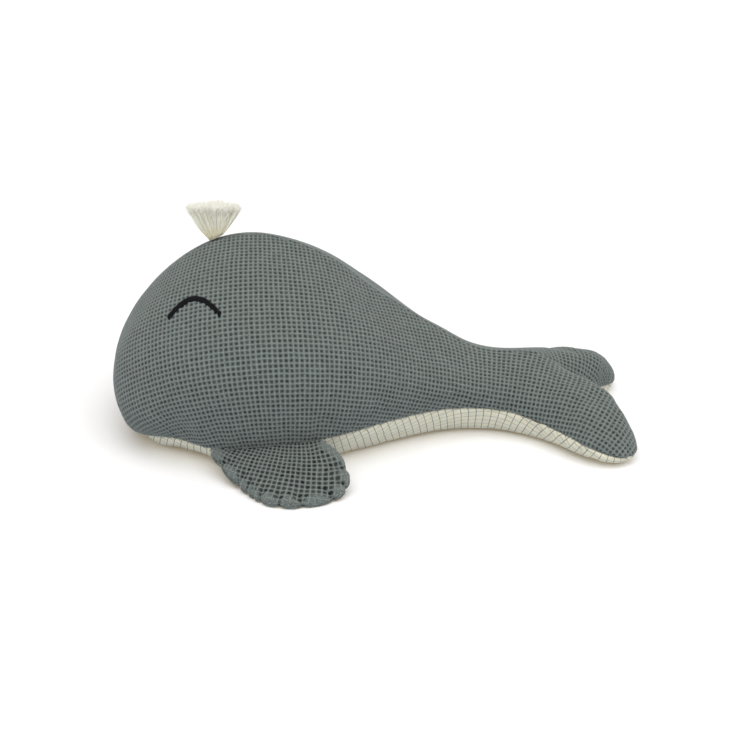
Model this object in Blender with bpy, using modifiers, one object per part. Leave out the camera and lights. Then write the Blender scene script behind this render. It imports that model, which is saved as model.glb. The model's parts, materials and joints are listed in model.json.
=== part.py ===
"""Plush whale lying on its belly, head towards -X, tail towards +X, resting on the plane Z = 0.

Two waffle-cotton back panels and one checked belly panel are sewn round a filling. The filling is
in two parts that meet at the waist, where the tail bends. Two padded fins are sewn into the belly
seam, a cotton tassel into the back seam, and two closed eyes are embroidered on the head.
Lengths are in metres. A share is a part of the named size that it follows.
"""
import math
from collections import namedtuple

import bmesh
import bpy
import numpy as np
from mathutils import Matrix, Vector
from mathutils.bvhtree import BVHTree

# Overall sizes of the whale
BODY_LENGTH = 0.303
TAIL_LENGTH = 0.115
BODY_HEIGHT = 0.163
BODY_WIDTH = 0.214
WAIST_HEIGHT = 0.0615
WAIST_WIDTH = 0.078
FLUKE_SPAN = 0.184

# The belly and how it lies on the floor
BELLY_RISE = 0.030
KEEL_EDGE_RISE = 0.003
KEEL_SAG = 0.0005

# Cloth, seams and running gaps
CLOTH_THICKNESS = 0.0009
SEAM_INSET = 0.0018
SEAM_CORD_RADIUS = 0.0011
FILLING_CLEARANCE = 0.0018
GAP = 0.0003

# The bending joint at the waist
WAIST_KNUCKLE_RADIUS = 0.0375
CUTTER_OVERRUN = 0.020

# The fins
FIN_ROOT_LENGTH = 0.0905
FIN_REACH = 0.051
FIN_THICKNESS = 0.011
FIN_RIM_HEIGHT = 0.0018
FIN_ROOT_GAP = 0.0006
WADDING_CLEARANCE = 0.0008

# The tassel
TASSEL_ROOT_LENGTH = 0.011
TASSEL_ROOT_RADIUS = 0.0018
TASSEL_HEIGHT = 0.0245
TASSEL_SPREAD = 0.0455
TASSEL_DEPTH = 0.020
TASSEL_LEAN = 0.0065

# The embroidered eyes
EYE_LINE_WIDTH = 0.0031
EYE_THREAD_THICKNESS = 0.0009
EYE_WIDTH = 0.0415
EYE_RISE = 0.0176

# Counts
SKIN_LEVELS = 2
FILLING_LEVELS = 1
KNUCKLE_SEGMENTS = 64
SEAM_STEPS = 4
ROOT_STRANDS = 19
ROOT_SIDES = 24
FAN_SIDES = 8
RIPPLES_ALONG = 23
RIPPLES_ACROSS = 7

NOSE_X = -(BODY_LENGTH + TAIL_LENGTH) / 2
WAIST_X = NOSE_X + BODY_LENGTH
HALF_WIDTH = BODY_WIDTH / 2
HALF_WAIST = WAIST_WIDTH / 2
HALF_SPAN = FLUKE_SPAN / 2

# Where a section's shoulder and flank lie: share of the half width, share of the height
SHOULDER_SHARES = (0.52, 0.80)
FLANK_SHARES = (0.963, 0.467)
KEEL_MIDDLE_SHARE = 0.5

Station = namedtuple(
    "Station",
    "ridge_x ridge_z shoulder_lean flank_lean bulge seam_x seam_y seam_z floor",
)

# The chin edge of the panels from the middle outwards: shares of body length, half width and height
CHIN_SHARES = (
    (0.060, 0.0, 0.009),
    (0.063, 0.112, 0.011),
    (0.069, 0.224, 0.016),
    (0.083, 0.336, 0.028),
)

# Head stations: x as shares of the body length, heights of the body height, widths of its half
# width, the seam's height of the belly rise, and the floor line as a share of the seam's width
HEAD_STATION_SHARES = (
    Station(0.005, 0.245, 0.135, 0.500, 0.610, 0.124, 0.598, 0.530, 0.76),
    Station(0.047, 0.558, 0.085, 0.630, 0.815, 0.202, 0.748, 0.670, 0.78),
    Station(0.202, 0.883, -0.080, 0.580, 0.944, 0.285, 0.897, 0.660, 0.765),
    Station(0.390, 1.000, 0.050, 0.550, 1.000, 0.433, 0.981, 0.867, 0.775),
)

# Loin stations: heights and widths are shares of the way from the waist's size to the body's
LOIN_STATION_SHARES = (
    Station(0.614, 0.744, 0.0, 0.0, 0.810, 0.614, 0.780, 1.000, 0.735),
    Station(0.829, 0.251, 0.0, 0.0, 0.280, 0.812, 0.235, 1.017, 0.64),
    Station(1.000, 0.000, 0.0, 0.0, 0.022, 0.993, 0.000, 0.900, 0.60),
)

# Fluke stations from the fork to the tip, each from the inner edge over the top to the outer
# edge: shares of the tail length, of half the fluke span and of the waist height
FLUKE_TOP_SHARES = (
    ((0.400, 0.0, 0.937), (0.400, 0.272, 0.850), (0.365, 0.500, 0.630), (0.330, 0.576, 0.354)),
    ((0.661, 0.0, 0.315), (0.696, 0.261, 0.724), (0.661, 0.630, 0.630), (0.591, 0.902, 0.300)),
    ((0.876, 0.430, 0.180), (0.900, 0.543, 0.480), (0.875, 0.826, 0.395), (0.800, 1.000, 0.200)),
    ((0.968, 0.650, 0.120), (0.992, 0.735, 0.120), (0.985, 0.848, 0.120), (0.930, 0.946, 0.120)),
)

# The undersides of the same stations but the last: outer and middle, as shares across and along
FLUKE_KEEL_SHARES = (
    ((0.340, 0.465), (0.380, 0.225)),
    ((0.605, 0.765), (0.650, 0.380)),
    ((0.820, 0.945), (0.850, 0.690)),
)

CHIN_ROW = 0
NOTCH_ROW = 9
TIP_ROW = 11
RIDGE_COLUMN = 0
SEAM_COLUMN = 3
KEEL_COLUMN = 6
BLUNT_CORNER_COSINE = -0.5

# The fin's rim from front to rear: shares along the root and of the reach
FIN_RIM_SHARES = ((0.04, 0.05), (0.298, 0.51), (0.61, 1.00), (1.105, 0.76), (1.155, 0.21))
FIN_ROOT_SHARES = (0.0, 0.25, 0.50, 0.75, 1.0)
FIN_MIDDLE_SHARE = 0.52
FIN_START_SHARE = 0.279
WADDING_SHARES = (0.72, 0.80, 0.80)

TASSEL_SHARE = 0.288
TASSEL_EDGE_DROP_SHARE = 0.13
STRAND_TIP_SHARE = 0.55
STRAND_RIPPLE_SHARE = 0.05

# The eye's crown: shares of the body length and height, and the share of the eye in front of it
EYE_X_SHARE = 0.257
EYE_Z_SHARE = 0.793
EYE_FRONT_SHARE = 0.61
EYE_POINTS = 13


def between(low, high, share):
    """The value that lies this share of the way from low to high."""
    return low + (high - low) * share


def body_x(share):
    return NOSE_X + share * BODY_LENGTH


def tail_x(share):
    return WAIST_X + share * TAIL_LENGTH


# Points on the sewn skin

def section_points(station, ridge_z, bulge, seam_y):
    """One row of a back panel from the ridge to the seam."""
    seam_z = station.seam_z * BELLY_RISE
    ridge_x = body_x(station.ridge_x)
    seam_x = body_x(station.seam_x)
    points = [(ridge_x, 0, ridge_z)]
    leans = (station.shoulder_lean, station.flank_lean)
    for lean, (across, up) in zip(leans, (SHOULDER_SHARES, FLANK_SHARES)):
        x = between(ridge_x, seam_x, lean)
        points.append((x, across * bulge, between(seam_z, ridge_z, up)))
    points.append((seam_x, seam_y, seam_z))
    return points


def keel_points(station, seam_y):
    """One row of the belly panel from beside the seam to the middle."""
    x = body_x(station.seam_x)
    floor_y = station.floor * seam_y
    return [
        (x, floor_y, KEEL_EDGE_RISE),
        (x, floor_y * KEEL_MIDDLE_SHARE, -KEEL_SAG),
        (x, 0, -KEEL_SAG),
    ]


def skin_points():
    """Half of the skin as rows of seven points: ridge, shoulder, flank, seam, and the underside."""
    chin = [(body_x(x), y * HALF_WIDTH, z * BODY_HEIGHT) for x, y, z in CHIN_SHARES]
    rows = [chin + chin[-2::-1]]
    for station in HEAD_STATION_SHARES:
        seam_y = station.seam_y * HALF_WIDTH
        ridge_z = station.ridge_z * BODY_HEIGHT
        top = section_points(station, ridge_z, station.bulge * HALF_WIDTH, seam_y)
        rows.append(top + keel_points(station, seam_y))
    for station in LOIN_STATION_SHARES:
        seam_y = between(HALF_WAIST, HALF_WIDTH, station.seam_y)
        bulge = between(HALF_WAIST, HALF_WIDTH, station.bulge)
        ridge_z = between(WAIST_HEIGHT, BODY_HEIGHT, station.ridge_z)
        rows.append(section_points(station, ridge_z, bulge, seam_y) + keel_points(station, seam_y))
    rows.extend(fluke_rows())
    return np.array(rows)


def fluke_rows():
    """The rows of the fork, the notch, the fluke and its tip."""
    tops = [
        [(tail_x(x), y * HALF_SPAN, z * WAIST_HEIGHT) for x, y, z in row]
        for row in FLUKE_TOP_SHARES
    ]
    rows = []
    for top, keel in zip(tops, FLUKE_KEEL_SHARES):
        (outer_x, outer_y), (middle_x, middle_y) = keel
        inner = top[0]
        if inner[1] == 0 and not rows:
            inner = (tail_x(middle_x), 0, -KEEL_SAG)
        rows.append(top + [
            (tail_x(outer_x), outer_y * HALF_SPAN, KEEL_EDGE_RISE),
            (tail_x(middle_x), middle_y * HALF_SPAN, -KEEL_SAG),
            inner,
        ])
    tip = tops[-1]
    rows.append(tip + tip[-2::-1])
    return rows


# Control cages whose smooth surface runs through chosen points

def fit_line(points):
    """Control points whose cubic B-spline runs through the given points."""
    points = np.asarray(points, float)
    count = len(points)
    matrix = np.eye(count)
    for k in range(1, count - 1):
        matrix[k, k - 1:k + 2] = (1 / 6, 4 / 6, 1 / 6)
    return np.linalg.solve(matrix, points)


def mirrored(points):
    return np.asarray(points, float) * (1, -1, 1)


def fit_row(row, closed_at_middle):
    """Fit one row of the skin: its top, then its underside."""
    top = fit_line(row[:SEAM_COLUMN + 1])
    under = row[SEAM_COLUMN:]
    if closed_at_middle:
        whole = np.vstack([under, mirrored(under[-2::-1])])
        under = fit_line(whole)[:len(under)]
    else:
        under = fit_line(under)
    return np.vstack([top, under[1:]])


def skin_cage():
    """The control cage of half the skin, fitted across the rows and then along them."""
    points = skin_points()
    rows = []
    for index, row in enumerate(points):
        if index in (CHIN_ROW, TIP_ROW):
            top = fit_line(row[:SEAM_COLUMN + 1])
            rows.append(np.vstack([top, top[-2::-1]]))
        else:
            rows.append(fit_row(row, index < NOTCH_ROW))
    cage = np.array(rows)
    for column in range(cage.shape[1]):
        line = cage[:, column]
        if column in (RIDGE_COLUMN, KEEL_COLUMN):
            front = fit_line(line[:NOTCH_ROW + 1])
            rear = fit_line(line[NOTCH_ROW:])
            cage[:, column] = np.vstack([front, rear[1:]])
        else:
            cage[:, column] = fit_line(line)
    return cage


def spline_curve(controls, steps):
    """Points on the cubic B-spline of these control points, which ends at the end ones."""
    controls = np.asarray(controls, float)
    first = 2 * controls[0] - controls[1]
    last = 2 * controls[-1] - controls[-2]
    padded = np.vstack([first, controls, last])
    points = []
    for k in range(len(controls) - 1):
        a, b, c, d = padded[k:k + 4]
        for step in range(steps):
            t = step / steps
            weights = (
                (1 - t) ** 3 / 6,
                (3 * t ** 3 - 6 * t ** 2 + 4) / 6,
                (-3 * t ** 3 + 3 * t ** 2 + 3 * t + 1) / 6,
                t ** 3 / 6,
            )
            points.append(sum(w * p for w, p in zip(weights, (a, b, c, d))))
    points.append(controls[-1])
    return np.array(points)


# Scene, collections and materials

def clear_scene():
    for item in list(bpy.data.objects):
        bpy.data.objects.remove(item, do_unlink=True)


def make_collection(name):
    collection = bpy.data.collections.new(name)
    bpy.context.scene.collection.children.link(collection)
    return collection


def make_material(name, color, roughness):
    material = bpy.data.materials.new(name)
    material.use_nodes = True
    shader = material.node_tree.nodes["Principled BSDF"]
    shader.inputs["Base Color"].default_value = (*color, 1)
    shader.inputs["Roughness"].default_value = roughness
    shader.inputs["Metallic"].default_value = 0
    return material


def add_object(name, data, collection, material=None, joint=None):
    """Add an object whose data is in world places, carried by an empty where it moves."""
    piece = bpy.data.objects.new(name, data)
    collection.objects.link(piece)
    if material:
        data.materials.append(material)
    if joint:
        data.transform(Matrix.Translation(-joint.location))
        piece.parent = joint
    return piece


def add_joint(name, place, collection):
    """An empty on a joint's axis, which carries the pieces that move with it."""
    joint = bpy.data.objects.new(name, None)
    joint.location = place
    collection.objects.link(joint)
    return joint


def evaluated_mesh(piece):
    """The piece's mesh as its modifiers make it, and the piece is removed."""
    bpy.context.view_layer.update()
    graph = bpy.context.evaluated_depsgraph_get()
    mesh = bpy.data.meshes.new_from_object(piece.evaluated_get(graph))
    bpy.data.objects.remove(piece, do_unlink=True)
    return mesh


# Cloth from control cages

def cage_mesh(name, cage, keys, corners=(), creased=()):
    """A mesh of a cage's quads. keys says which point each row and column stands for."""
    rows, columns = cage.shape[:2]
    mesh = bpy.data.meshes.new(name)
    shell = bmesh.new()
    corner_layer = shell.verts.layers.float.new("crease_vert")
    crease_layer = shell.edges.layers.float.new("crease_edge")
    verts = {}
    for row in range(rows):
        for column in range(columns):
            key = keys(row, column)
            if key not in verts:
                verts[key] = shell.verts.new(cage[key[0], key[1]])
    for row in range(rows - 1):
        for column in range(columns - 1):
            quad = [
                verts[keys(row, column)],
                verts[keys(row + 1, column)],
                verts[keys(row + 1, column + 1)],
                verts[keys(row, column + 1)],
            ]
            shell.faces.new(quad)
    for key in corners:
        verts[key][corner_layer] = 1.0
    for first, second in creased:
        edge = shell.edges.get((verts[first], verts[second]))
        edge[crease_layer] = 1.0
    shell.to_mesh(mesh)
    shell.free()
    return mesh


def own_key(row, column):
    return (row, column)


def smooth_surface(mesh, levels, collection, mirror=False):
    """The mesh after a Mirror, where asked, and a Subdivision Surface."""
    piece = add_object("cage", mesh, collection)
    if mirror:
        halves = piece.modifiers.new("Mirror", "MIRROR")
        halves.use_axis = (False, True, False)
        halves.merge_threshold = 0.00001
    soft = piece.modifiers.new("Subdivision", "SUBSURF")
    soft.levels = levels
    soft.render_levels = levels
    return evaluated_mesh(piece)


def press_flat(mesh):
    """Lift what would lie below the floor onto it, as the cloth's own weight presses it flat."""
    for vertex in mesh.vertices:
        vertex.co.z = max(vertex.co.z, 0)


def trim_to_seam(mesh, width):
    """Draw a panel's edge back from its seam line by this width."""
    panel = bmesh.new()
    panel.from_mesh(mesh)
    rim = bmesh.ops.inset_region(
        panel, faces=panel.faces[:], thickness=width, use_boundary=True, use_even_offset=True
    )
    bmesh.ops.delete(panel, geom=rim["faces"], context="FACES")
    weld_blunt_corners(panel)
    panel.to_mesh(mesh)
    panel.free()


def weld_blunt_corners(panel):
    """Merge the point inside each rounded corner with the corner, so that no face folds there."""
    targets = {}
    for corner in panel.verts:
        if len(corner.link_edges) != 2:
            continue
        arms = [edge.other_vert(corner) for edge in corner.link_edges]
        first, second = [(arm.co - corner.co).normalized() for arm in arms]
        if first.dot(second) < BLUNT_CORNER_COSINE:
            inner = [v for v in corner.link_faces[0].verts if v != corner and v not in arms]
            targets[inner[0]] = corner
    bmesh.ops.weld_verts(panel, targetmap=targets)


def face_out(mesh, turned):
    """Turn all faces round where the surface is a mirror image."""
    if turned:
        mesh.flip_normals()


def cloth_panel(name, mesh, collection, material, joint=None):
    """A panel of cloth: an open surface thickened inwards."""
    mesh.materials.clear()
    panel = add_object(name, mesh, collection, material, joint)
    cloth = panel.modifiers.new("Cloth", "SOLIDIFY")
    cloth.thickness = CLOTH_THICKNESS
    cloth.offset = -1
    mesh.shade_smooth()
    return panel


def back_panel(name, cage, side, collection, material):
    """The waffle cloth of one side, from the ridge to the belly seam and round the fluke."""
    top = cage[:, :SEAM_COLUMN + 1].copy()
    top[:, :, 1] *= side
    corners = ((CHIN_ROW, RIDGE_COLUMN), (NOTCH_ROW, RIDGE_COLUMN))
    mesh = cage_mesh(name, top, own_key, corners)
    face_out(mesh, side < 0)
    mesh = smooth_surface(mesh, SKIN_LEVELS, collection)
    trim_to_seam(mesh, SEAM_INSET)
    return cloth_panel(name, mesh, collection, material)


def belly_panel(cage, collection, material):
    """The checked cloth under the body and the flukes, pressed flat where it lies."""
    under = cage[:, SEAM_COLUMN:].copy()
    corners = ((NOTCH_ROW, KEEL_COLUMN - SEAM_COLUMN),)
    mesh = cage_mesh("belly_panel", under, own_key, corners)
    mesh = smooth_surface(mesh, FILLING_LEVELS, collection, mirror=True)
    press_flat(mesh)
    trim_to_seam(mesh, SEAM_INSET)
    return cloth_panel("belly_panel", mesh, collection, material)


# The filling

def filling_key(row, column):
    """Points that the top and the underside share, at the chin, the inner edge and the tip."""
    if row in (CHIN_ROW, TIP_ROW) and column > SEAM_COLUMN:
        return (row, KEEL_COLUMN - column)
    if row >= NOTCH_ROW and column == KEEL_COLUMN:
        return (row, RIDGE_COLUMN)
    return (row, column)


def filling_creases():
    """The edges of the cage along the ridge and the belly seam."""
    edges = []
    for row in range(TIP_ROW):
        edges.append(((row, RIDGE_COLUMN), (row + 1, RIDGE_COLUMN)))
        edges.append(((row, SEAM_COLUMN), (row + 1, SEAM_COLUMN)))
    for column in range(SEAM_COLUMN):
        edges.append(((CHIN_ROW, column), (CHIN_ROW, column + 1)))
        edges.append(((TIP_ROW, column), (TIP_ROW, column + 1)))
    return edges


def shrink(mesh, depth):
    """Move a closed surface inwards by an even depth."""
    body = bmesh.new()
    body.from_mesh(mesh)
    body.normal_update()
    moves = [v.normal * v.calc_shell_factor() * depth for v in body.verts]
    for vertex, move in zip(body.verts, moves):
        vertex.co -= move
    body.to_mesh(mesh)
    body.free()


def filling_mesh(cage, collection):
    """The whole filling: the skin's shape, inside the cloth."""
    mesh = cage_mesh("filling", cage, filling_key, (), filling_creases())
    mesh = smooth_surface(mesh, FILLING_LEVELS, collection, mirror=True)
    press_flat(mesh)
    shrink(mesh, CLOTH_THICKNESS + FILLING_CLEARANCE)
    return mesh


def knuckle_cutter(name, radius, collection):
    """A block with one round end at the waist, which takes in the whole tail."""
    profile = bmesh.new()
    reach = TAIL_LENGTH + CUTTER_OVERRUN
    half_depth = HALF_WIDTH + CUTTER_OVERRUN
    verts = []
    for step in range(KNUCKLE_SEGMENTS // 2 + 1):
        angle = math.pi / 2 + 2 * math.pi * step / KNUCKLE_SEGMENTS
        x = WAIST_X + radius * math.cos(angle)
        z = WAIST_HEIGHT / 2 + radius * math.sin(angle)
        verts.append(profile.verts.new((x, -half_depth, z)))
    for z in (WAIST_HEIGHT / 2 - radius, WAIST_HEIGHT / 2 + radius):
        verts.append(profile.verts.new((WAIST_X + reach, -half_depth, z)))
    face = profile.faces.new(verts)
    grown = bmesh.ops.extrude_face_region(profile, geom=[face])
    moved = [item for item in grown["geom"] if isinstance(item, bmesh.types.BMVert)]
    bmesh.ops.translate(profile, verts=moved, vec=(0, 2 * half_depth, 0))
    bmesh.ops.recalc_face_normals(profile, faces=profile.faces[:])
    mesh = bpy.data.meshes.new(name)
    profile.to_mesh(mesh)
    profile.free()
    cutter = add_object(name, mesh, collection)
    cutter.hide_render = True
    cutter.display_type = "WIRE"
    return cutter


def cut_filling(piece, cutter, operation):
    cut = piece.modifiers.new("Waist", "BOOLEAN")
    cut.operation = operation
    cut.object = cutter
    cut.solver = "EXACT"


# Seams and embroidery

def tube(name, points, radius, collection, material):
    """A round cord through these points with closed ends."""
    data = bpy.data.curves.new(name, "CURVE")
    data.dimensions = "3D"
    data.bevel_depth = radius
    data.bevel_resolution = 1
    data.use_fill_caps = True
    spline = data.splines.new("POLY")
    spline.points.add(len(points) - 1)
    for target, point in zip(spline.points, points):
        target.co = (*point, 1)
    return add_object(name, data, collection, material)


def trimmed_ends(points, length):
    """The points that lie further than this length from both ends."""
    kept = [
        p for p in points
        if np.linalg.norm(p - points[0]) > length and np.linalg.norm(p - points[-1]) > length
    ]
    return np.array(kept)


def seam_controls(cage):
    """The belly seam of one side: chin, side, fluke tip and inner edge, down to the notch."""
    chin = cage[CHIN_ROW, :SEAM_COLUMN]
    side = cage[:, SEAM_COLUMN]
    tip = cage[TIP_ROW, SEAM_COLUMN - 1::-1]
    inner = cage[TIP_ROW - 1:NOTCH_ROW - 1:-1, RIDGE_COLUMN]
    return np.vstack([chin, side, tip, inner])


def embroidered_eye(name, surface, side, collection, material):
    """A satin-stitched arch that lies on the cloth."""
    strip = bmesh.new()
    rows = []
    front = EYE_FRONT_SHARE * EYE_WIDTH
    for step in range(EYE_POINTS):
        t = (step / (EYE_POINTS - 1) * EYE_WIDTH - front) / front
        x = body_x(EYE_X_SHARE) + t * front
        z = EYE_Z_SHARE * BODY_HEIGHT - EYE_RISE * t * t
        slope = -2 * EYE_RISE * t / front
        across = Vector((-slope, 0, 1)).normalized() * EYE_LINE_WIDTH / 2
        row = []
        for share in (-1, 0, 1):
            place = Vector((x, side * BODY_WIDTH, z)) + across * share
            hit, normal, _, _ = surface.ray_cast(place, Vector((0, -side, 0)))
            row.append(strip.verts.new(hit + normal * GAP))
        rows.append(row)
    for before, after in zip(rows, rows[1:]):
        for k in range(2):
            strip.faces.new((before[k], after[k], after[k + 1], before[k + 1]))
    mesh = bpy.data.meshes.new(name)
    strip.to_mesh(mesh)
    strip.free()
    face_out(mesh, side > 0)
    eye = add_object(name, mesh, collection, material)
    thread = eye.modifiers.new("Thread", "SOLIDIFY")
    thread.thickness = EYE_THREAD_THICKNESS
    thread.offset = 1
    mesh.shade_smooth()
    return eye


# Fins

def seam_place(seam, x):
    """The point of the side seam at this x."""
    side = seam[np.argsort(seam[:, 0])]
    return np.array([x, np.interp(x, side[:, 0], side[:, 1]), np.interp(x, side[:, 0], side[:, 2])])


def fin_grid(seam, bulge):
    """Three rows of points from the root to the rim, raised or lowered in the middle by a bulge."""
    front_x = body_x(FIN_START_SHARE)
    standoff = SEAM_CORD_RADIUS + FIN_ROOT_GAP - SEAM_INSET
    roots = []
    for share in FIN_ROOT_SHARES:
        root = seam_place(seam, front_x + share * FIN_ROOT_LENGTH)
        roots.append(root + (0, standoff, 0))
    base_y = max(root[1] for root in roots)
    rims = []
    for along, out in FIN_RIM_SHARES:
        x = front_x + along * FIN_ROOT_LENGTH
        rims.append(np.array([x, base_y + out * FIN_REACH, FIN_RIM_HEIGHT]))
    rims[0][2] = between(FIN_RIM_HEIGHT, roots[0][2], 1 - FIN_RIM_SHARES[0][1])
    rims[-1][2] = between(FIN_RIM_HEIGHT, roots[-1][2], 1 - FIN_RIM_SHARES[-1][1])
    middles = []
    for k, (root, rim) in enumerate(zip(roots, rims)):
        middle = between(root, rim, FIN_MIDDLE_SHARE)
        if 0 < k < len(roots) - 1:
            middle = middle + np.array([0, 0, bulge])
        middles.append(middle)
    return np.array([roots, middles, rims])


def fin_cloth_grid(seam, side_up):
    """The upper or lower cloth, whose edge lies a layer of cloth away from the fin's middle."""
    grid = fin_grid(seam, side_up * (FIN_THICKNESS / 2 - CLOTH_THICKNESS - GAP))
    return grid + np.array([0, 0, side_up * (CLOTH_THICKNESS + GAP)])


def fit_grid(grid):
    """A control cage whose surface runs through a plain grid of points."""
    rows = np.array([fit_line(row) for row in grid])
    return np.array([fit_line(column) for column in rows.transpose(1, 0, 2)]).transpose(1, 0, 2)


def fin_cloth(name, seam, side, side_up, collection, material, joint):
    """The upper cloth of a fin, or the lower one where side_up is -1."""
    cage = fit_grid(fin_cloth_grid(seam, side_up))
    cage[:, :, 1] *= side
    mesh = cage_mesh(name, cage, own_key)
    face_out(mesh, side == side_up)
    mesh = smooth_surface(mesh, SKIN_LEVELS, collection)
    press_flat(mesh)
    trim_to_seam(mesh, SEAM_INSET)
    return cloth_panel(name, mesh, collection, material, joint)


def fin_wadding(name, seam, side, collection, material, joint):
    """The pad inside a fin: a lens that keeps clear of both cloths and of their seams."""
    puff = FIN_THICKNESS / 2 - CLOTH_THICKNESS - WADDING_CLEARANCE
    upper = fin_grid(seam, puff)
    lower = fin_grid(seam, -puff)
    middle = (upper[1, 2] + lower[1, 2]) / 2
    cage = np.vstack([upper, lower[-2::-1]])
    cage = middle + (cage - middle) * WADDING_SHARES
    last = len(cage) - 1

    def key(row, column):
        edge_column = column in (0, cage.shape[1] - 1)
        mirrored_row = last - row
        if row == last or (edge_column and row > mirrored_row):
            return (mirrored_row, column)
        return (row, column)

    cage[:, :, 1] *= side
    mesh = cage_mesh(name, cage, key)
    face_out(mesh, side > 0)
    mesh = smooth_surface(mesh, FILLING_LEVELS, collection)
    mesh.shade_smooth()
    return add_object(name, mesh, collection, material, joint)


def fin_axis(seam, side):
    """A point on the line that the fin swings about: its root, where the body is widest."""
    grid = fin_grid(seam, 0)
    widest = max(grid[0], key=lambda point: point[1])
    return Vector((widest[0], side * widest[1], widest[2]))


# Tassel

def tassel_mesh(name, place, pitch):
    """A bound root that lies along the ridge, with a fan of tapered strands."""
    tuft = bmesh.new()
    rings = []
    for k in range(ROOT_STRANDS + 1):
        x = between(-TASSEL_ROOT_LENGTH / 2, TASSEL_ROOT_LENGTH / 2, k / ROOT_STRANDS)
        ring = []
        for side in range(ROOT_SIDES):
            angle = 2 * math.pi * side / ROOT_SIDES
            y = TASSEL_ROOT_RADIUS * math.sin(angle)
            z = TASSEL_ROOT_RADIUS * math.cos(angle)
            ring.append(tuft.verts.new((x, y, z)))
        rings.append(ring)
    fan = []
    for before, after in zip(rings, rings[1:]):
        for side in range(ROOT_SIDES):
            other = (side + 1) % ROOT_SIDES
            face = tuft.faces.new((before[side], before[other], after[other], after[side]))
            middle = (side + 0.5) if side < ROOT_SIDES / 2 else (side + 0.5 - ROOT_SIDES)
            if abs(middle) < FAN_SIDES / 2:
                fan.append(face)
    tuft.faces.new(rings[0][::-1])
    tuft.faces.new(rings[-1])
    bmesh.ops.recalc_face_normals(tuft, faces=tuft.faces[:])
    split = bmesh.ops.triangulate(tuft, faces=fan)
    grow_strands(tuft, split["faces"])
    mesh = bpy.data.meshes.new(name)
    tuft.to_mesh(mesh)
    tuft.free()
    mesh.transform(Matrix.Translation(place) @ Matrix.Rotation(pitch, 4, "Y"))
    return mesh


def grow_strands(tuft, faces):
    """Draw each small face of the root out into one tapered strand."""
    grown = bmesh.ops.extrude_discrete_faces(tuft, faces=faces)
    widest = math.sin(math.pi * FAN_SIDES / ROOT_SIDES) * TASSEL_ROOT_RADIUS
    for face in grown["faces"]:
        center = face.calc_center_median()
        along = center.x / (TASSEL_ROOT_LENGTH / 2)
        across = center.y / widest
        ripple = STRAND_RIPPLE_SHARE * math.sin(RIPPLES_ALONG * along + RIPPLES_ACROSS * across)
        drop = TASSEL_EDGE_DROP_SHARE * along * along
        tip = Vector((
            along * TASSEL_SPREAD / 2 + TASSEL_LEAN,
            across * TASSEL_DEPTH / 2,
            TASSEL_HEIGHT * (1 - drop + ripple),
        ))
        for vertex in face.verts:
            vertex.co = tip + (vertex.co - center) * STRAND_TIP_SHARE


def build():
    clear_scene()
    whale = make_collection("plush_whale")
    cutters = make_collection("cutters")
    waffle = make_material("waffle_cotton", (0.176, 0.215, 0.200), 0.90)
    check = make_material("checked_cotton", (0.80, 0.77, 0.67), 0.85)
    fibre = make_material("polyester_filling", (0.90, 0.90, 0.88), 0.95)
    thread = make_material("sewing_thread", (0.20, 0.24, 0.23), 0.80)
    black = make_material("embroidery_thread", (0.012, 0.012, 0.014), 0.70)
    yarn = make_material("tassel_yarn", (0.84, 0.80, 0.64), 0.85)

    cage = skin_cage()
    seam = spline_curve(seam_controls(cage), SEAM_STEPS)
    ridge = spline_curve(cage[:NOTCH_ROW + 1, RIDGE_COLUMN], SEAM_STEPS)

    waist_joint = add_joint("tail_joint", (WAIST_X, 0, WAIST_HEIGHT / 2), whale)
    filling = filling_mesh(cage, whale)
    body = add_object("body_filling", filling.copy(), whale, fibre)
    tail = add_object("tail_filling", filling.copy(), whale, fibre, waist_joint)
    socket = knuckle_cutter("socket_cutter", WAIST_KNUCKLE_RADIUS + GAP, cutters)
    knuckle = knuckle_cutter("knuckle_cutter", WAIST_KNUCKLE_RADIUS, cutters)
    cut_filling(body, socket, "DIFFERENCE")
    cut_filling(tail, knuckle, "INTERSECT")

    belly_panel(cage, whale, check)
    seam_trim = 2 * SEAM_CORD_RADIUS + GAP
    ridge_line = trimmed_ends(ridge, 2 * seam_trim)
    tube("back_seam", ridge_line, SEAM_CORD_RADIUS, whale, thread)
    for side, word in ((-1, "left"), (1, "right")):
        panel = back_panel("back_panel_" + word, cage, side, whale, waffle)
        surface = BVHTree.FromObject(panel, bpy.context.evaluated_depsgraph_get())
        embroidered_eye("eye_" + word, surface, side, whale, black)
        side_line = trimmed_ends(seam, seam_trim) * (1, side, 1)
        tube("belly_seam_" + word, side_line, SEAM_CORD_RADIUS, whale, thread)

        joint = add_joint("fin_joint_" + word, fin_axis(seam, side), whale)
        fin_cloth("fin_upper_" + word, seam, side, 1, whale, waffle, joint)
        fin_cloth("fin_lower_" + word, seam, side, -1, whale, waffle, joint)
        fin_wadding("fin_wadding_" + word, seam, side, whale, fibre, joint)

    build_tassel(ridge, whale, yarn)


def build_tassel(ridge, collection, material):
    """Seat the tassel on the back seam, in line with the ridge."""
    x = body_x(TASSEL_SHARE)
    crown = ridge[ridge[:, 2].argmax(), 0]
    front = ridge[(ridge[:, 0] <= crown) & (ridge[:, 2] > BODY_HEIGHT / 2)]
    half = TASSEL_ROOT_LENGTH / 2
    low = np.interp(x - half, front[:, 0], front[:, 2])
    high = np.interp(x + half, front[:, 0], front[:, 2])
    pitch = -math.atan2(high - low, TASSEL_ROOT_LENGTH)
    middle = np.interp(x, front[:, 0], front[:, 2])
    rise = SEAM_CORD_RADIUS + GAP + TASSEL_ROOT_RADIUS
    place = Vector((x, 0, middle)) + Vector((math.sin(pitch), 0, math.cos(pitch))) * rise
    joint = add_joint("tassel_joint", place, collection)
    mesh = tassel_mesh("tassel", place, pitch)
    add_object("tassel", mesh, collection, material, joint)


build()
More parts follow.
